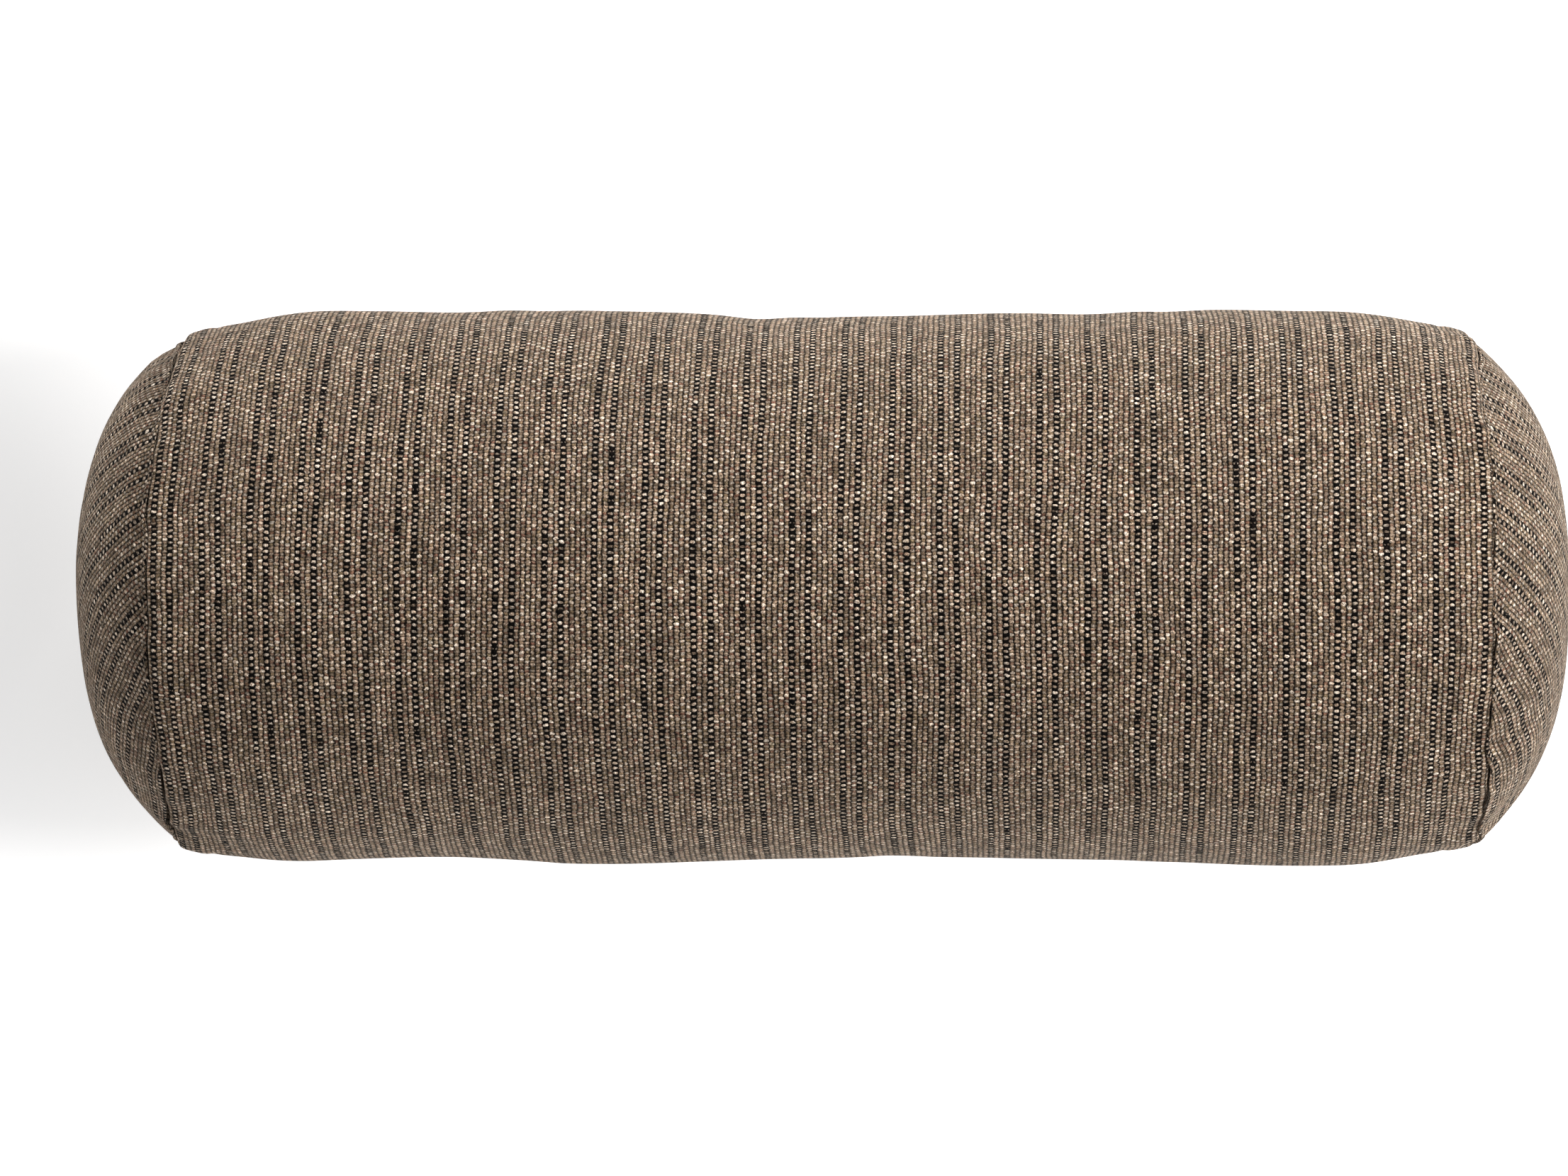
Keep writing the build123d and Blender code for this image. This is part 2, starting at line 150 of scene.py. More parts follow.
def grid_faces(rows, columns, closed=False, start=0, flip=False):
    """Quads of a grid whose points are numbered row by row."""
    faces = []
    for i in range(rows - 1):
        for j in range(columns if closed else columns - 1):
            k = (j + 1) % columns
            quad = [start + i * columns + j, start + i * columns + k]
            quad += [start + (i + 1) * columns + k, start + (i + 1) * columns + j]
            faces.append(quad[::-1] if flip else quad)
    return faces


def apply_modifier(piece, modifier):
    """Makes a modifier's result the piece's own mesh."""
    bpy.context.view_layer.objects.active = piece
    with bpy.context.temp_override(object=piece, active_object=piece, selected_objects=[piece]):
        bpy.ops.object.modifier_apply(modifier=modifier.name)


def thicken(piece, thickness):
    """Gives a sheet the cloth's thickness, inwards from its right side."""
    solidify = piece.modifiers.new("ply", "SOLIDIFY")
    solidify.thickness, solidify.offset = thickness, -1
    apply_modifier(piece, solidify)


def disc_grid(n):
    """A disc of quads: each point's share of the radius and angle, its faces, and its rim in order."""
    a, b = np.meshgrid(np.linspace(-1, 1, n + 1), np.linspace(-1, 1, n + 1), indexing="ij")
    share = np.maximum(abs(a), abs(b))
    safe_a, safe_b = np.where(a == 0, 1, a), np.where(b == 0, 1, b)
    sideways = math.pi / 4 * b / safe_a + np.where(a < 0, math.pi, 0)
    upright = math.pi / 2 - math.pi / 4 * a / safe_b + np.where(b < 0, math.pi, 0)
    angle = np.where(abs(a) >= abs(b), sideways, upright)
    rim = [i for i in range((n + 1) ** 2) if share.ravel()[i] > 1 - 1e-9]
    rim.sort(key=lambda i: angle.ravel()[i] % math.tau)
    return share.ravel(), angle.ravel(), grid_faces(n + 1, n + 1), rim


# ---- A bolster as one closed mesh -------------------------------------------------------------------
class Net:
    """A closed net over a bolster: a disc of points on each end, and rings between their rims."""

    def __init__(self, form, quarter, rings):
        self.form, self.rings, self.around = form, rings, 4 * quarter
        self.share, self.turn, disc, rim = disc_grid(quarter)
        self.count, self.rim = len(self.share), np.array(rim)
        self.stations = np.linspace(*form.seams, rings)
        self.angle = np.arange(self.around) * math.tau / self.around
        inner = 2 * self.count + np.arange((rings - 2) * self.around).reshape(-1, self.around)
        self.tube = np.vstack((self.rim, inner, self.count + self.rim))
        self.left = [list(face) for face in disc]
        self.right = [[i + self.count for i in face[::-1]] for face in disc]
        self.middle = []
        for i in range(rings - 1):
            for j in range(self.around):
                k = (j + 1) % self.around
                quad = (self.tube[i, j], self.tube[i, k], self.tube[i + 1, k], self.tube[i + 1, j])
                self.middle.append([int(v) for v in quad])

    def shape(self, end, tube):
        """Every point's place, from a function for the ends and one for the tube."""
        ends = [end(side, self.share, self.turn) for side in (-1, 1)]
        inner = tube(self.stations[1:-1, None], self.angle[None, :]).reshape(-1, 3)
        return np.vstack((*ends, inner))


# ---- Stuffing: a cloth simulation of the whole cover under its filling's pressure -----------------
CLOTH_N = 28  # a quarter of the points round the cover
CLOTH_ROWS = 86
CLOTH_FRAMES = 20
SPARE = 0.015  # share of spare cloth everywhere
EASE, EASE_REACH = 0.06, 24 * MM  # share of spare cloth at the end seams, and how far it spreads
CLOTH_CAP = 1.4 * MM  # the deepest wrinkle that is kept
CLOTH_MASS = 0.003  # kg at each point
CLOTH_STRETCH, CLOTH_SHEAR, CLOTH_BEND = 10, 2, 0.5  # stiffnesses
CLOTH_QUALITY = 6
PRESSURE = 60
RESTING = 1.5 * MM  # cloth lower than this lies on the floor and stays put
ZIP_STAYS = 12 * MM  # and so does cloth this near to the zipper
FINE_BLUR, BROAD_BLUR = 2, 30  # averaging passes that leave out the noise, and that find the broad swelling


def stuff_cover():
    """How far the stuffing pushes the tube's cloth outwards, and each end panel's cloth along the axis."""
    net = Net(COVER, CLOTH_N, CLOTH_ROWS)
    points = net.shape(
        lambda side, share, angle: place(COVER.dome_x(side, share), share * COVER.seam_radius, angle, 0.0),
        lambda x, angle: place(x, COVER.tube_radius(x), angle, 0.0),
    )
    away = (np.arctan2(points[:, 2] - AXIS_Z, points[:, 1]) - ZIP_ANGLE + math.pi) % math.tau - math.pi
    pinned = np.isin(np.arange(len(points)), net.tube) & (abs(away) * MID_RADIUS < ZIP_STAYS)
    pinned[net.tube[[0, -1]].ravel()] = True
    pinned |= points[:, 2] < RESTING
    piece = make_mesh("stuffing", points, net.left + net.right + net.middle)
    pins = piece.vertex_groups.new(name="pins")
    pins.add([int(i) for i in np.flatnonzero(pinned)], 1.0, "REPLACE")
    ease = piece.vertex_groups.new(name="ease")
    from_seam = np.abs(points - np.array([(COVER.seam_x(1) + COVER.seam_x(-1)) / 2, 0, AXIS_Z]))
    off_axis = np.hypot(from_seam[:, 1], from_seam[:, 2])
    from_seam = np.hypot(from_seam[:, 0] - COVER.seam_x(1), off_axis - COVER.seam_radius)
    for i, distance in enumerate(from_seam):
        ease.add([i], math.exp(-distance / EASE_REACH), "REPLACE")
    cloth = piece.modifiers.new("cloth", "CLOTH")
    settings = cloth.settings
    settings.quality, settings.mass = CLOTH_QUALITY, CLOTH_MASS
    settings.tension_stiffness = settings.compression_stiffness = CLOTH_STRETCH
    settings.shear_stiffness, settings.bending_stiffness = CLOTH_SHEAR, CLOTH_BEND
    settings.use_pressure, settings.uniform_pressure_force = True, PRESSURE
    settings.vertex_group_mass, settings.vertex_group_shrink = "pins", "ease"
    settings.shrink_min, settings.shrink_max = -SPARE, -EASE
    settings.effector_weights.gravity = 0
    cloth.collision_settings.use_collision = False
    cloth.point_cache.frame_start, cloth.point_cache.frame_end = 1, CLOTH_FRAMES
    for number in range(1, CLOTH_FRAMES + 1):
        bpy.context.scene.frame_set(number)
    shown = piece.evaluated_get(bpy.context.evaluated_depsgraph_get()).data
    moved = np.zeros(len(points) * 3)
    shown.vertices.foreach_get("co", moved)
    moved = moved.reshape(-1, 3)
    bpy.data.objects.remove(piece)
    bpy.context.scene.frame_set(1)
    reach = np.hypot(moved[:, 1], moved[:, 2] - AXIS_Z) - np.hypot(points[:, 1], points[:, 2] - AXIS_Z)
    along = (moved[:, 0] - points[:, 0])[: 2 * net.count].reshape(2, CLOTH_N + 1, CLOTH_N + 1)
    return reach[net.tube], along * np.array([-1, 1])[:, None, None]


def lookup(field, row, column, closed=False):
    """Reads a grid of numbers between its points, as a smooth cubic B-spline surface."""
    row, column = np.broadcast_arrays(np.asarray(row, float), np.asarray(column, float))
    total = np.zeros(row.shape)
    i0, j0 = np.floor(row).astype(int), np.floor(column).astype(int)
    for i in range(-1, 3):
        for j in range(-1, 3):
            weight = basis(row - i0 - i) * basis(column - j0 - j)
            ii = np.clip(i0 + i, 0, field.shape[0] - 1)
            jj = (j0 + j) % field.shape[1] if closed else np.clip(j0 + j, 0, field.shape[1] - 1)
            total += weight * field[ii, jj]
    return total


def basis(t):
    """The cubic B-spline's weight at a distance t."""
    t = abs(t)
    return np.where(t < 1, (4 - 6 * t**2 + 3 * t**3) / 6, np.where(t < 2, (2 - t) ** 3 / 6, 0))


TUBE_PUFF, PANEL_PUFF = stuff_cover()


def blurred(field, passes, closed):
    """A grid of numbers, each averaged with its neighbours over and over."""
    for _ in range(passes):
        for axis in (0, 1):
            padding = [(0, 0), (0, 0)]
            padding[axis] = (1, 1)
            padded = np.pad(field, padding, mode="wrap" if closed and axis else "edge")
            size = field.shape[axis]
            before, after = np.take(padded, range(size), axis), np.take(padded, range(2, size + 2), axis)
            field = field / 2 + (before + after) / 4
    return field


def wrinkles(field, closed):
    """A grid of movements without its noise, and without the broad swelling that the panels already have."""
    creases = blurred(field, FINE_BLUR, closed) - blurred(field, BROAD_BLUR, closed)
    return np.clip(creases, -CLOTH_CAP, CLOTH_CAP)


TUBE_PUFF = wrinkles(TUBE_PUFF, True)
PANEL_PUFF = np.stack([wrinkles(field, False) for field in PANEL_PUFF])


# ---- The cloth panels ----------------------------------------------------------------------------
def folded_line(length, fold, low_hem, high_hem, spacing):
    """Stations along a strip from one turned edge to the other: place, depth, and length of cloth so far."""
    steps = [0.35 * fold]
    while steps[-1] * 1.25 < spacing:
        steps.append(steps[-1] * 1.25)
    near, flat_length = np.cumsum(steps), length - 2 * fold
    middle = flat_length - 2 * near[-1]
    inner = near[-1] + np.linspace(0, middle, round(middle / spacing) + 1)[1:-1]
    flat = np.concatenate((near, inner, flat_length - near[::-1]))
    ends = []
    for hem in (low_hem, high_hem):
        turn = np.linspace(math.pi, 0, 9)
        back = np.linspace(hem, fold, 5)[:-1]
        run = np.concatenate((back, fold - fold * np.sin(turn)))
        depth = np.concatenate((np.full(len(back), 2 * fold), fold - fold * np.cos(turn)))
        cloth = np.concatenate((-(math.pi - 1) * fold - back, -fold * turn))
        ends.append((run, depth, cloth))
    (run_a, depth_a, cloth_a), (run_b, depth_b, cloth_b) = ends
    where = np.concatenate((run_a, fold + flat, length - run_b[::-1]))
    depth = np.concatenate((depth_a, 0 * flat, depth_b[::-1]))
    cloth = np.concatenate((cloth_a, flat, flat_length - cloth_b[::-1]))
    return where, depth, cloth


def seam_wave(side, angle):
    """How far an end seam wanders along the bolster, round its edge."""
    round_edge = (angle % math.tau) * MID_RADIUS
    slow = ripples(21 + side, round_edge, 0 * round_edge, 90 * MM)
    quick = ripples(31 + side, round_edge, 0, 15 * MM)
    inwards = SEAM_LEAN * np.cos(angle) + SEAM_BOW * np.cos(angle) ** 2
    return (0.5 * slow + 0.2 * quick - side * inwards) * MM


def zip_distance(angle):
    """Distance round the bolster from the zipper's line, downwards, from 0 to the whole girth."""
    return (ZIP_ANGLE - angle) % math.tau * MID_RADIUS


def tube_puff(x, angle):
    """How far the stuffing pushes the tube out of round. It leaves the zipper alone."""
    u = zip_distance(angle)
    row = (x - COVER.seams[0]) / (COVER.seams[1] - COVER.seams[0]) * (CLOTH_ROWS - 1)
    pushed = lookup(TUBE_PUFF, row, (angle % math.tau) / math.tau * 4 * CLOTH_N, closed=True)
    back = np.cos(math.tau * (x - BACK_HUMP) / BACK_WAVE) * (1 + np.cos(angle)) / 2
    front = np.cos(math.tau * (x - FRONT_HUMP) / FRONT_WAVE) * (1 - np.cos(angle)) / 2
    waves = 0.4 * ripples(5, x, u, 150 * MM) + 0.25 * ripples(6, x, u, 60 * MM)
    broad = BACK_SWELL * back + BACK_FULLER * (1 + np.cos(angle)) + FRONT_SWELL * front + waves
    return (pushed + broad * MM) * smooth(np.minimum(u, GIRTH - u), 14 * MM, 45 * MM)


def end_puff(side, share, angle):
    """How far the stuffing pushes an end panel out of its smooth dome."""
    a, b = to_square(np.clip(share, 0, 1), angle)
    pushed = lookup(PANEL_PUFF[(side + 1) // 2], (a + 1) / 2 * CLOTH_N, (b + 1) / 2 * CLOTH_N)
    pushed = pushed * smooth(share, 0.5, 0.8)
    y, z = share * np.cos(angle), share * np.sin(angle)
    shoulder = SHOULDER * (side < 0) * ((1 + np.cos(angle)) / 2) ** 2 * smooth(share, 0.3, 0.85)
    broad = 0.35 * MM * ripples(61 + side, y, z, 0.9) - 0.5 * MM
    return (pushed + broad) * smooth(1 - share, 0, 0.15) + shoulder * smooth(1 - share, 0, 0.07)


ZIP_GAPE = 4.6 * MM  # how far each edge of the cloth stands back from the zipper's middle
HEM_RISE = 0.35 * MM  # how far the turned cloth at the end seams shows through, and the dip past it


def wrap_panel():
    """The tube of the cover: a rectangle with turned edges, rolled up, that meets itself at the zipper."""
    left, right = COVER.seams
    x0, depth_x, cloth_x = folded_line(right - left, FOLD, SEAM_HEM, SEAM_HEM, SPACING)
    u0, depth_u, cloth_u = folded_line(GIRTH, FOLD, ZIP_HEM, ZIP_HEM, SPACING)
    x, u = np.meshgrid(left + x0, u0, indexing="ij")
    from_left, from_right = x - left, right - x
    nearest = np.minimum(from_left, from_right)
    from_zip = np.minimum(u, GIRTH - u)
    gape = ZIP_GAPE * (1 - smooth(abs(x), ZIP_END_X - 3 * MM, ZIP_END_X + 4 * MM)) + 0.1 * MM
    aside = gape * np.exp(-from_zip / (40 * MM))
    u = np.where(u < GIRTH / 2, u + aside, u - aside)
    angle = ZIP_ANGLE - u / MID_RADIUS
    x = x + seam_wave(-1, angle) * np.exp(-from_left / (18 * MM))
    x = x + seam_wave(1, angle) * np.exp(-from_right / (18 * MM))
    depth = np.maximum(depth_x[:, None], depth_u[None, :])
    side = np.where(from_left < from_right, -1.0, 1.0)
    fine = ripples(41, u, 0.2 * nearest + side, 12 * MM) * np.exp(-nearest / (12 * MM)) * 0.3
    coarse = ripples(43, u, 0.1 * nearest + side, 27 * MM) * np.exp(-nearest / (22 * MM)) * 0.5
    puckers = (fine + coarse) * MM * smooth(from_zip, 14 * MM, 30 * MM)
    ridge = smooth(nearest, 0.5 * MM, 3 * MM) * (1 - smooth(nearest, 8 * MM, 14 * MM)) * HEM_RISE
    groove = -HEM_RISE * np.exp(-(((nearest - 12.5 * MM) / (1.8 * MM)) ** 2))
    step = -0.5 * MM * smooth(from_zip, 13 * MM, 18 * MM) * (1 - smooth(from_zip, 30 * MM, 60 * MM))
    radius = COVER.tube_radius(x) + tube_puff(x, angle) + puckers + ridge + groove + step - depth
    points = place(x, radius, angle, COVER.floor + depth)
    layers = {
        "warp_mm": np.broadcast_to(cloth_x[:, None] / MM, x.shape),
        "weft_mm": np.broadcast_to(cloth_u / MM, x.shape),
    }
    piece = make_mesh("cover_tube_cloth", points.reshape(-1, 3), grid_faces(*x.shape, flip=True), layers)
    thicken(piece, PLY)
    return piece


GRAIN = math.radians(36)  # the end panels' weave is turned by this much
FLAT_SHARE = 0.955  # share of an end panel's radius that its square grid covers
END_TUCK = 0.6 * MM  # how far its edge is pressed into the tube's
END_SMALLER = 0.5 * MM  # how far the tube's edge stands above it
RIM_TURN = 1.5 * MM  # radius of the end panel's fold into the seam
PAINTED_SEAM_SHADE = 0.26  # painted shade: how much darker the left end is beside its seam
RIM_DEPTH = 4.9 * MM  # how deep it goes before it turns back under the tube's hem


def end_panel(side, name):
    """A round domed end panel, whose edge folds down into the seam and back under the tube."""
    share, angle, faces, rim = disc_grid(64)
    rim_angle = angle[rim] % math.tau
    tail_share = np.linspace(FLAT_SHARE, 1 - RIM_TURN / COVER.seam_radius, 7)[1:]
    turn = np.linspace(0, math.pi / 2, 6)[1:]
    fold_share = 1 - (RIM_TURN - RIM_TURN * np.sin(turn)) / COVER.seam_radius
    sink = np.linspace(0, RIM_DEPTH, 5)[1:]
    back = np.linspace(0, SEAM_HEM, 6)[1:]
    sunk_share = np.concatenate((1 - sink / COVER.seam_radius, np.full(5, 1 - RIM_DEPTH / COVER.seam_radius)))
    tail_share = np.concatenate((tail_share, fold_share, sunk_share))
    # how far behind the dome each ring of the rim lies, and the length of cloth past the dome's edge
    folded = RIM_TURN - RIM_TURN * np.cos(turn)
    tail_dip = np.concatenate((np.zeros(6), folded, RIM_TURN + 0 * sink, RIM_TURN + back))
    quarter_turn = RIM_TURN * math.pi / 2
    under = quarter_turn + RIM_DEPTH + back
    tail_cloth = np.concatenate((np.zeros(6), RIM_TURN * turn, quarter_turn + sink, under))
    count, ring = len(share), len(rim)
    rows = [rim] + [[count + k * ring + j for j in range(ring)] for k in range(len(tail_share))]
    for a, b in zip(rows[:-1], rows[1:]):
        for j in range(ring):
            k = (j + 1) % ring
            faces.append([a[j], a[k], b[k], b[j]])
    share = np.concatenate((share * FLAT_SHARE, np.repeat(tail_share, ring)))
    angle = np.concatenate((angle, np.tile(rim_angle, len(tail_share))))
    dip = np.concatenate((np.zeros(count), np.repeat(tail_dip, ring)))
    in_dome = np.concatenate((share[:count], np.repeat(np.maximum.accumulate(tail_share), ring)))
    in_dome = np.minimum(in_dome, 1 - RIM_TURN / COVER.seam_radius)
    from_seam = (1 - in_dome) * COVER.seam_radius
    edge = (angle % math.tau) * COVER.seam_radius
    puckers = ripples(51 + side, edge, 0.3 * from_seam, 24 * MM) * np.exp(-from_seam / (14 * MM)) * 0.6 * MM
    x = COVER.dome_x(side, in_dome) + side * (end_puff(side, in_dome, angle) + puckers - dip - END_TUCK)
    x = x + seam_wave(side, angle) * np.exp(-from_seam / (18 * MM))
    points = place(x, share * (COVER.seam_radius - END_SMALLER), angle, COVER.floor)
    arc = np.linspace(0, 1, 200)
    steps = np.hypot(np.diff(arc * COVER.seam_radius), np.diff(COVER.dome_x(side, arc)))
    arc_length = np.concatenate(([0], np.cumsum(steps)))
    past_dome = np.concatenate((np.zeros(count), np.repeat(tail_cloth, ring)))
    cloth = (np.interp(in_dome, arc, arc_length) + past_dome) / MM
    # painted shade beside the left seam, fading away from it
    painted_seam_shade = PAINTED_SEAM_SHADE * (side < 0) * np.exp(-from_seam / (5 * MM))
    layers = {
        "warp_mm": cloth * np.cos(angle + GRAIN),
        "weft_mm": cloth * np.sin(angle + GRAIN),
        "painted_seam_shade": painted_seam_shade,
    }
    if side > 0:
        faces = [face[::-1] for face in faces]
    piece = make_mesh(name, points, faces, layers)
    thicken(piece, PLY)
    return piece


POCKET = 3.6 * MM  # how far the zipper presses into the insert
INSERT_INSET = 2.4 * MM  # from the cover's right side to the insert's
TICKING = 0.6 * MM
FIBRE_INSET = 1.2 * MM  # from the insert's right side to the fibre


def insert_end(side, share, angle, inset=0.0):
    """Places on one of the insert's ends."""
    x = INSERT.dome_x(side, share) + side * (end_puff(side, share, angle) - inset)
    return place(x, share * (INSERT.seam_radius - inset), angle, INSERT.floor + inset)


def insert_tube(x, angle, inset=0.0):
    """Places on the insert's tube, inside the cover and clear of the zipper."""
    u = zip_distance(angle)
    pocket = POCKET * (1 - smooth(np.minimum(u, GIRTH - u), 16 * MM, 24 * MM))
    inside = COVER.tube_radius(x) + tube_puff(x, angle) - INSERT_INSET - pocket
    radius = np.minimum(inside, INSERT.tube_radius(x) + 0 * angle)
    return place(x, radius - inset, angle, INSERT.floor + inset)


def insert_pieces():
    """The insert's tube and ends, and the fibre inside them."""
    net = Net(INSERT, 32, 100)
    points = net.shape(insert_end, insert_tube)
    yield make_mesh("insert_tube_cloth", *used(points, net.middle)), "insert_wrap_panel", "ticking"
    yield make_mesh("insert_end_cloth_left", *used(points, net.left)), "insert_end_panel_left", "ticking"
    yield make_mesh("insert_end_cloth_right", *used(points, net.right)), "insert_end_panel_right", "ticking"
    within = net.shape(lambda *at: insert_end(*at, FIBRE_INSET), lambda *at: insert_tube(*at, FIBRE_INSET))
    within = within + 0.25 * MM * ripples(71, within[:, 0], within[:, 1], 9 * MM)[:, None] * [0, 1, 0]
    yield make_mesh("fibre_filling", within, net.left + net.right + net.middle), "fibre_fill", "fibre_fill"


def used(points, faces):
    """Only the points that some faces use, and those faces renumbered."""
    kept, numbers = np.unique(np.array(faces), return_inverse=True)
    return points[kept], numbers.reshape(-1, 4).tolist()


def to_square(share, angle):
    """The place on disc_grid's square of a share of the radius and an angle."""
    angle = (angle + math.pi / 4) % math.tau - math.pi / 4
    quarter = np.floor((angle + math.pi / 4) / (math.pi / 2)).astype(int) % 4
    along = (angle - quarter * math.pi / 2) / (math.pi / 4)
    a = np.choose(quarter, [share, -share * along, -share, share * along])
    b = np.choose(quarter, [share * along, share, -share * along, -share])
    return a, b


# ---- Materials -----------------------------------------------------------------------------------
class Field:
    """A number that varies over a material, worked out by Math nodes from ordinary Python operators."""

    def __init__(self, tree, socket):
        self.tree, self.socket = tree, socket

    def math(self, operation, *others):
        node = self.tree.nodes.new("ShaderNodeMath")
        node.operation = operation
        for slot, value in zip(node.inputs, (self, *others)):
            plug(self.tree, value, slot)
        return Field(self.tree, node.outputs[0])

    def __add__(self, other):
        return self.math("ADD", other)

    def __sub__(self, other):
        return self.math("SUBTRACT", other)

    def __mul__(self, other):
        return self.math("MULTIPLY", other)

    def __rsub__(self, other):
        return self * -1.0 + other

    def __truediv__(self, other):
        return self.math("DIVIDE", other)

    def floor(self):
        return self.math("FLOOR")

    def step(self, low, high):
        """0 at low, 1 at high and a soft step between."""
        node = self.tree.nodes.new("ShaderNodeMapRange")
        node.interpolation_type = "SMOOTHSTEP"
        plug(self.tree, self, node.inputs["Value"])
        node.inputs["From Min"].default_value, node.inputs["From Max"].default_value = low, high
        return Field(self.tree, node.outputs["Result"])


def plug(tree, value, slot):
    """Sets a socket to a number or a colour, or links a field or another node's output to it."""
    if isinstance(value, Field):
        tree.links.new(value.socket, slot)
    elif isinstance(value, bpy.types.NodeSocket):
        tree.links.new(value, slot)
    else:
        slot.default_value = value


def vector(tree, x, y, z=0.0):
    node = tree.nodes.new("ShaderNodeCombineXYZ")
    for value, slot in zip((x, y, z), node.inputs):
        plug(tree, value, slot)
    return node.outputs[0]


def cloud(tree, x, y, seed, detail=1.0):
    """Smooth noise from -0.5 to 0.5 over two coordinates."""
    node = tree.nodes.new("ShaderNodeTexNoise")
    node.inputs["Scale"].default_value, node.inputs["Detail"].default_value = 1.0, detail
    plug(tree, vector(tree, x, y, seed), node.inputs["Vector"])
    return Field(tree, node.outputs["Fac"]) - 0.5


def chance(tree, x, y, seed):
    """A random number from 0 to 1 for each cell."""
    node = tree.nodes.new("ShaderNodeTexWhiteNoise")
    plug(tree, vector(tree, x, y, seed), node.inputs["Vector"])
    return Field(tree, node.outputs["Value"])


def mix(tree, share, a, b, blend="MIX"):
    """One colour turning into another."""
    node = tree.nodes.new("ShaderNodeMix")
    node.data_type, node.blend_type = "RGBA", blend
    for value, slot in zip((share, a, b), (node.inputs[0], node.inputs[6], node.inputs[7])):
        plug(tree, value, slot)
    return node.outputs[2]


def ramp(tree, share, colours):
    """A row of colours, evenly spaced."""
    node = tree.nodes.new("ShaderNodeValToRGB")
    stops = node.color_ramp.elements
    while len(stops) < len(colours):
        stops.new(1.0)
    for i, (stop, colour) in enumerate(zip(stops, colours)):
        stop.position, stop.color = i / (len(colours) - 1), colour
    plug(tree, share, node.inputs[0])
    return node.outputs[0]


def shade(code, factor=1.0):
    """A colour from its six-figure sRGB code, as the linear one that shaders take."""
    parts = [int(code[i : i + 2], 16) / 255 for i in (0, 2, 4)]
    return [factor * (p / 12.92 if p < 0.04045 else ((p + 0.055) / 1.055) ** 2.4) for p in parts] + [1.0]


def new_material(name):
    """An empty material with its Principled shader."""
    material = bpy.data.materials.new(name)
    material.use_nodes = True
    return material, material.node_tree, material.node_tree.nodes["Principled BSDF"]


def layer(tree, name):
    """A number layer of the mesh."""
    node = tree.nodes.new("ShaderNodeAttribute")
    node.attribute_name = name
    return Field(tree, node.outputs["Fac"])


def bump(tree, shader, height, distance, strength=1.0):
    """Raises the surface by a height field."""
    node = tree.nodes.new("ShaderNodeBump")
    node.inputs["Distance"].default_value, node.inputs["Strength"].default_value = distance, strength
    plug(tree, height, node.inputs["Height"])
    tree.links.new(node.outputs[0], shader.inputs["Normal"])


WARP_PITCH, WEFT_PITCH = 1.957, 1.17  # mm
SLUB_LENGTH = 6.3  # mm that a thick place in a dark thread takes
BEAD = 0.6  # share of two picks that the weft's float over a warp thread takes
SHADE_GAIN = 0.945  # how bright the whole cloth is
REPEAT = 9  # threads from one pair of dark warp threads to the next
TWEED_PALE = ["867462", "ab9580", "d8c9b8", "baa591", "97816d", "c4b3a2", "aa947c"]
TWEED_MID = ["685240", "977c64", "806b51", "a78e77", "7e5748", "8f7b5e", "70604f"]
TWEED_DARK = ["0d0a09", "15100d", "0a0807", "1c1411"]


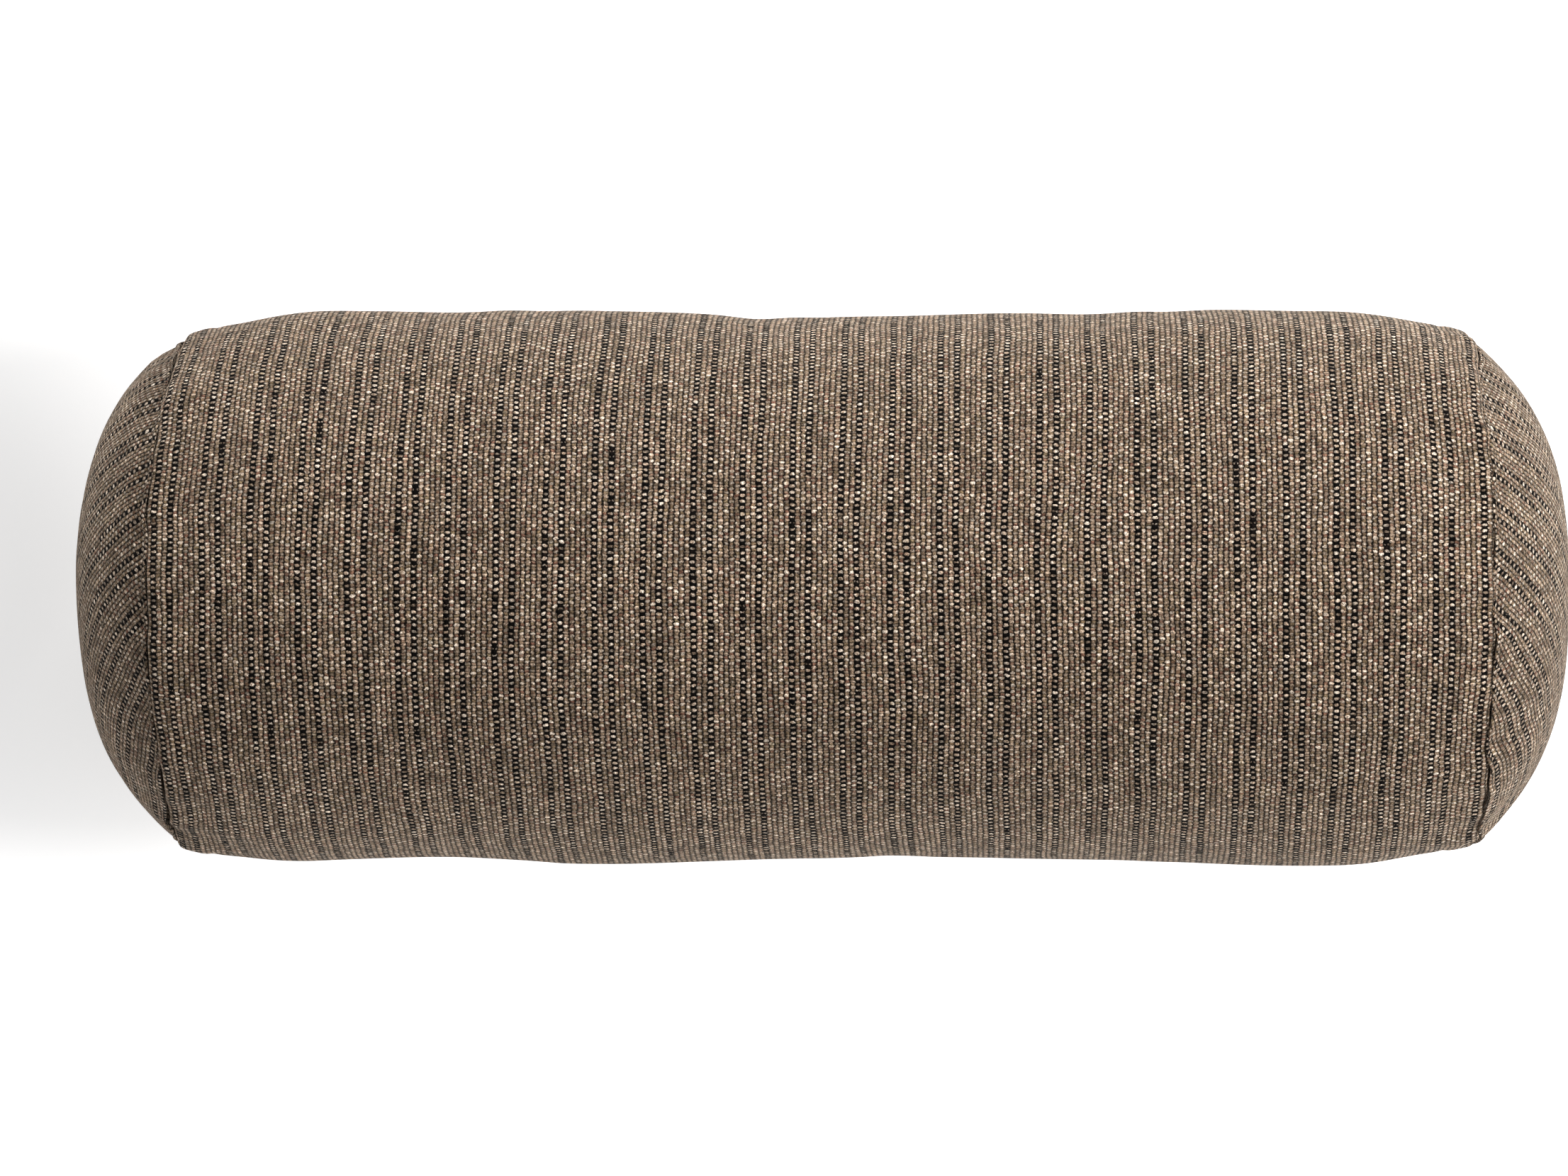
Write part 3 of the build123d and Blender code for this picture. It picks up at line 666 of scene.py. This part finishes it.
def tweed():
    """Heathered plain-weave tweed with pairs of near-black warp threads, laid along the mesh's own cloth."""
    material, tree, shader = new_material("tweed")
    warp, weft = layer(tree, "warp_mm"), layer(tree, "weft_mm")
    across = warp + cloud(tree, warp / 38, weft / 55, 3.1) * 2.6 + cloud(tree, warp / 5, weft / 8, 7.7) * 0.8
    along = weft + cloud(tree, warp / 28, weft / 40, 5.3) * 2.0 + cloud(tree, warp / 2.6, weft / 6, 9.1) * 1.1
    across = across + cloud(tree, warp / 1.4, weft / 1.2, 19.1) * 1.1
    column_at = across / WARP_PITCH
    column = column_at.floor()
    pair_at = along / (2 * WEFT_PITCH) + column.math("FLOORED_MODULO", 2.0) * 0.5
    pair = pair_at.floor()
    u, share = column_at - column - 0.5, pair_at - pair
    v = (share - BEAD / 2) / BEAD
    cell = chance(tree, column, pair, 2.0)

    repeat = column.math("FLOORED_MODULO", float(REPEAT))
    pick = repeat.math("COMPARE", 0.0, 0.4) + repeat.math("COMPARE", 3.0, 0.4)
    dark = pick * cloud(tree, column * 5.3, along / 17, 1.7, 2.0).step(-0.25, -0.16)
    thick = chance(tree, column, (along / SLUB_LENGTH).floor(), 4.0).step(0.93, 0.94)
    slub = thick * dark * (1.0 - u * u * 9.0)

    bead = (1.0 - u * u * 3.7 - v * v * 3.3).math("MAXIMUM", 0.0).math("SQRT")
    bead = bead * (cell * (dark * 0.3 + 0.3) + 0.78 - dark * 0.1)
    rise = ((share - (1 + BEAD) / 2) * math.tau).math("COSINE") * 0.2 + 0.6
    wide = (1.0 - u * u * (5.0 - dark * 0.5)).math("MAXIMUM", 0.0).math("SQRT")
    thread = wide * (rise + dark * 0.04) + slub * 0.35
    on_top = (thread - bead).step(-0.07, 0.07)
    height = thread.math("MAXIMUM", bead)

    heather = cloud(tree, column * 3.7, along / 2.6, 12.0, 2.0) * 1.5
    heather = heather + chance(tree, column, pair, 6.0) * 0.5 + 0.25
    strand = chance(tree, column, (along / 31).floor(), 17.0) * 0.24 + 0.84
    fleck = cloud(tree, across / 2.2, pair * 4.1, 15.0, 2.0) * 1.6
    fleck = fleck + chance(tree, column, pair, 8.0) * 0.55 + 0.22
    pale = ramp(tree, fleck, [shade(c) for c in TWEED_PALE])
    mid = ramp(tree, heather, [shade(c) for c in TWEED_MID])
    black = ramp(tree, chance(tree, column, pair, 11.0), [shade(c) for c in TWEED_DARK])
    tint = cloud(tree, warp / 5.5, weft / 4.5, 21.0, 2.0)
    colour = mix(tree, on_top, pale, mid)
    colour = mix(tree, tint.step(0.05, 0.3) * 0.3, colour, shade("9a6a52"))
    colour = mix(tree, tint.step(-0.05, -0.3) * 0.25, colour, shade("8a8560"))
    colour = mix(tree, on_top * dark, colour, black)
    fuzz = cloud(tree, across * 1.5, along * 1.5, 30.0, 2.0) * 3.9
    fuzz = fuzz + cloud(tree, across * 3, along * 3, 31.0) * 2.9 + 1.0
    patch = cloud(tree, warp / 4, weft / 4, 33.0, 2.0) * 0.7 + 1.0
    shadow = (height.step(0.16, 1.0) * 0.98 + 0.02) * (cell * 0.6 + 0.7)
    shadow = shadow * fuzz.math("MAXIMUM", 0.3) * patch * SHADE_GAIN
    # darker beside the left seam: painted shade
    shadow = shadow * strand * (1.0 - layer(tree, "painted_seam_shade"))
    grey = tree.nodes.new("ShaderNodeCombineColor")
    for slot in grey.inputs[:3]:
        plug(tree, shadow, slot)
    plug(tree, mix(tree, 1.0, colour, grey.outputs[0], "MULTIPLY"), shader.inputs["Base Color"])
    shader.inputs["Roughness"].default_value = 0.85
    shader.inputs["Specular IOR Level"].default_value = 0.06
    plug(tree, (1.0 - on_top * dark) * 0.34, shader.inputs["Sheen Weight"])
    shader.inputs["Sheen Roughness"].default_value = 0.3
    shader.inputs["Sheen Tint"].default_value = shade("d9c8b4")
    bump(tree, shader, height + fuzz * 0.08, 0.75 * MM)
    return material


def spot_mm(tree):
    """A place on a CAD piece, in millimetres along each of the frame's axes."""
    node = tree.nodes.new("ShaderNodeSeparateXYZ")
    tree.links.new(tree.nodes.new("ShaderNodeTexCoord").outputs["Object"], node.inputs[0])
    return [Field(tree, output) / MM for output in node.outputs]


def woven(name, code, pitch, roughness=0.9):
    """A fine plain weave, in one colour with slight differences from thread to thread, and painted shade where the
    weave is lower.
    """
    material, tree, shader = new_material(name)
    x, y, z = spot_mm(tree)
    rise = y + z
    along, across = x * (math.pi / pitch), rise * (math.pi / pitch)
    column, row = (x / pitch).floor(), (rise / pitch).floor()
    height = (along.math("SINE").math("ABSOLUTE") + across.math("SINE").math("ABSOLUTE")) * 0.5
    # darker where the weave is lower, between the threads: painted shade
    tone = chance(tree, column, row, 3.0) * 0.25 + height.step(0.1, 0.9) * 0.75
    tone = tone + cloud(tree, x / 4, rise / 4, 5.0, 2.0) * 0.3
    colour = ramp(tree, tone, [shade(code, 0.45), shade(code), shade(code, 1.25)])
    plug(tree, colour, shader.inputs["Base Color"])
    shader.inputs["Roughness"].default_value = roughness
    shader.inputs["Specular IOR Level"].default_value = 0.15
    shader.inputs["Sheen Weight"].default_value = 0.15
    bump(tree, shader, height, 0.1 * MM)
    return material


def spun(name, code, pitch=0.7, roughness=0.6):
    """Twisted thread: slanted plies, lighter on their crests and darker between them, as painted highlight and
    shade.
    """
    material, tree, shader = new_material(name)
    x, y, z = spot_mm(tree)
    twist = ((x + y * 0.8 + z * 0.8) * (math.tau / pitch)).math("SINE") * 0.5 + 0.5
    # lighter on each ply's crest and darker between plies: painted highlight and shade
    tone = twist * 0.7 + cloud(tree, x / 2, (y + z) / 2, 4.0, 2.0) * 0.5 + 0.15
    colour = ramp(tree, tone, [shade(code, 0.4), shade(code), shade(code, 1.4)])
    plug(tree, colour, shader.inputs["Base Color"])
    shader.inputs["Roughness"].default_value = roughness
    shader.inputs["Sheen Weight"].default_value = 0.2
    bump(tree, shader, twist, 0.06 * MM)
    return material


def monofilament(name, code):
    """Nylon coil: smooth, a little translucent, dyed unevenly."""
    material, tree, shader = new_material(name)
    x, y, z = spot_mm(tree)
    tone = cloud(tree, x / 6, (y + z) / 2, 8.0, 2.0) * 1.2 + 0.5
    plug(tree, ramp(tree, tone, [shade(code, 0.75), shade(code, 1.15)]), shader.inputs["Base Color"])
    plug(tree, cloud(tree, x * 1.5, y + z, 9.0) * 0.2 + 0.38, shader.inputs["Roughness"])
    shader.inputs["Subsurface Weight"].default_value = 0.1
    shader.inputs["Subsurface Scale"].default_value = 0.4 * MM
    shader.inputs["Coat Weight"].default_value = 0.15
    return material


def plated(name, code):
    """Nickel plate: bright, with a faint orange-peel surface, fine scratches and duller patches."""
    material, tree, shader = new_material(name)
    x, y, z = spot_mm(tree)
    patches = cloud(tree, x / 2.5, (y + z) / 2.5, 6.0, 3.0)
    scratches = cloud(tree, x * 1.2, (y - z) * 14.0, 7.0, 3.0)
    plug(tree, ramp(tree, patches + 0.5, [shade(code, 0.78), shade(code, 1.08)]), shader.inputs["Base Color"])
    plug(tree, patches * 0.25 + scratches.math("ABSOLUTE") * 0.35 + 0.2, shader.inputs["Roughness"])
    shader.inputs["Metallic"].default_value = 1.0
    bump(tree, shader, patches + scratches * 0.2, 0.03 * MM)
    return material


def loose_fibre(name, code):
    """Polyester filling: white, matt and curly."""
    material, tree, shader = new_material(name)
    x, y, z = spot_mm(tree)
    curls = cloud(tree, x * 1.6 + z, y * 1.6 - z, 12.0, 6.0)
    # darker where the curls' bump is lower and whiter where it is higher: painted shade and light
    colour = ramp(tree, curls * 1.6 + 0.5, [shade(code, 0.6), shade(code), shade("ffffff")])
    plug(tree, colour, shader.inputs["Base Color"])
    shader.inputs["Roughness"].default_value = 1.0
    shader.inputs["Subsurface Weight"].default_value = 0.2
    shader.inputs["Subsurface Scale"].default_value = 3 * MM
    bump(tree, shader, curls, 1.2 * MM)
    return material


# ---- Building ------------------------------------------------------------------------------------
TWEED = tweed()


def finish_piece(piece, material, slot_name, nodes):
    """Colours a soft piece and ties it to the frame."""
    piece.data.materials.append(material)
    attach(piece, "pillow")
    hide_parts(*nodes)


finish_piece(wrap_panel(), TWEED, "cover_fabric", ["cover_wrap_panel"])
for word, side in (("left", -1), ("right", 1)):
    panel = end_panel(side, f"cover_end_cloth_{word}")
    finish_piece(panel, TWEED, "cover_fabric", [f"cover_end_panel_{word}"])

INSIDE = {"ticking": woven("ticking", "dcd8cc", 0.55), "fibre_fill": loose_fibre("fibre", "efeeea")}
for piece, node, slot in insert_pieces():
    if slot == "ticking":
        thicken(piece, TICKING)
    finish_piece(piece, INSIDE[slot], slot, [node])

FINISHES = {
    "sewing_thread": spun("cover_thread", "7c6d5c"),
    "insert_thread": spun("white_thread", "e4e0d6"),
    "zip_tape": woven("tape", "6d5f50", 0.6),
    "zip_coil": monofilament("coil", "63564a"),
    "zip_metal": plated("nickel", "c4c0ba"),
    **INSIDE,
}
for part in frame["record"]["subparts"]:
    node = frame["nodes"][part["node"]]
    if part["material_slot"] in FINISHES:
        node.data.materials.clear()
        node.data.materials.append(FINISHES[part["material_slot"]])


# ---- Camera, floor and light ---------------------------------------------------------------------
def aim(lamp, position, target):
    """Puts a light at a position, facing a target."""
    lamp.location = position
    lamp.rotation_euler = (Vector(target) - Vector(position)).to_track_quat("-Z", "Y").to_euler()


LENS, SENSOR = 144.5, 36  # mm
EYE_X, EYE_Y, EYE_HEIGHT = 0.082, 0.0003, 2.34  # m, the height above the pillow's axis
EYE_LEAN = 0.0962  # m that the view reaches back towards -X by the time that it meets the axis


def camera():
    """Nearly overhead, a little towards the right end."""
    data = bpy.data.cameras.new("camera")
    data.lens, data.sensor_width = LENS, SENSOR
    eye = bpy.data.objects.new("camera", data)
    bpy.context.scene.collection.objects.link(eye)
    eye.location = (EYE_X, EYE_Y, AXIS_Z + EYE_HEIGHT)
    eye.rotation_euler = (0, math.atan2(EYE_LEAN, EYE_HEIGHT), 0)
    bpy.context.scene.camera = eye


def area_light(name, position, target, size, power):
    """A round soft light, with its size in metres and its power in watts."""
    data = bpy.data.lights.new(name, "AREA")
    data.shape, data.size, data.energy = "DISK", size, power
    lamp = bpy.data.objects.new(name, data)
    bpy.context.scene.collection.objects.link(lamp)
    aim(lamp, position, target)


# The floor glows though it is no lamp, as painted light, and glows less in a patch past the pillow's left end, as
# a painted shadow.
PAINTED_SHADOW_X, PAINTED_SHADOW_Y = -0.37, 0.002  # m, the middle of the painted shadow, a dimmer patch in the floor's glow
PAINTED_SHADOW_ROUNDNESS = 0.88  # its length along X over its length along Y
PAINTED_SHADOW_REACH = 0.05, 0.21  # m from its middle, where it is dimmest and where it ends
PAINTED_SHADOW_GLOW, FULL_GLOW = 0.2, 0.85
ROOM_GLOW = 0.45


def glowing_floor_painted_shadow():
    """White board that glows though it is no lamp, as painted light, and less so past the pillow's left end, where
    the dimmer patch is a painted shadow.
    """
    material, tree, shader = new_material("glowing_floor_painted_shadow")
    shader.inputs["Base Color"].default_value = shade("f0f0f0")
    shader.inputs["Roughness"].default_value = 0.9
    shader.inputs["Specular IOR Level"].default_value = 0.0
    spot = tree.nodes.new("ShaderNodeSeparateXYZ")
    tree.links.new(tree.nodes.new("ShaderNodeTexCoord").outputs["Object"], spot.inputs[0])
    x = Field(tree, spot.outputs[0]) - PAINTED_SHADOW_X
    y = (Field(tree, spot.outputs[1]) - PAINTED_SHADOW_Y) * PAINTED_SHADOW_ROUNDNESS
    from_shadow = (x * x + y * y).math("SQRT")
    # less glow near the patch's middle: a painted shadow
    glow = from_shadow.step(*PAINTED_SHADOW_REACH) * (FULL_GLOW - PAINTED_SHADOW_GLOW) + PAINTED_SHADOW_GLOW
    plug(tree, glow, shader.inputs["Emission Strength"])
    shader.inputs["Emission Color"].default_value = (1, 1, 1, 1)
    return material


def studio():
    """A glowing white floor with a painted shadow past the pillow's left end, under a soft key from the right, a
    fill from the top of the view and a pale room.
    """
    corners = np.array([(-3, -3, 0), (3, -3, 0), (3, 3, 0), (-3, 3, 0)], float)
    floor = make_mesh("floor", corners, [[0, 1, 2, 3]])
    floor.data.materials.append(glowing_floor_painted_shadow())
    area_light("key", (0.9, 0.0, 1.15), (0, 0, 0.05), size=0.5, power=13.5)
    area_light("top", (0.1, 1.9, 0.95), (0, 0, 0.05), size=1.2, power=30)
    world = bpy.data.worlds.new("room")
    world.use_nodes = True
    world.node_tree.nodes["Background"].inputs["Color"].default_value = (1, 1, 1, 1)
    world.node_tree.nodes["Background"].inputs["Strength"].default_value = ROOM_GLOW
    bpy.context.scene.world = world
    bpy.context.scene.view_settings.view_transform = "Standard"


camera()
studio()
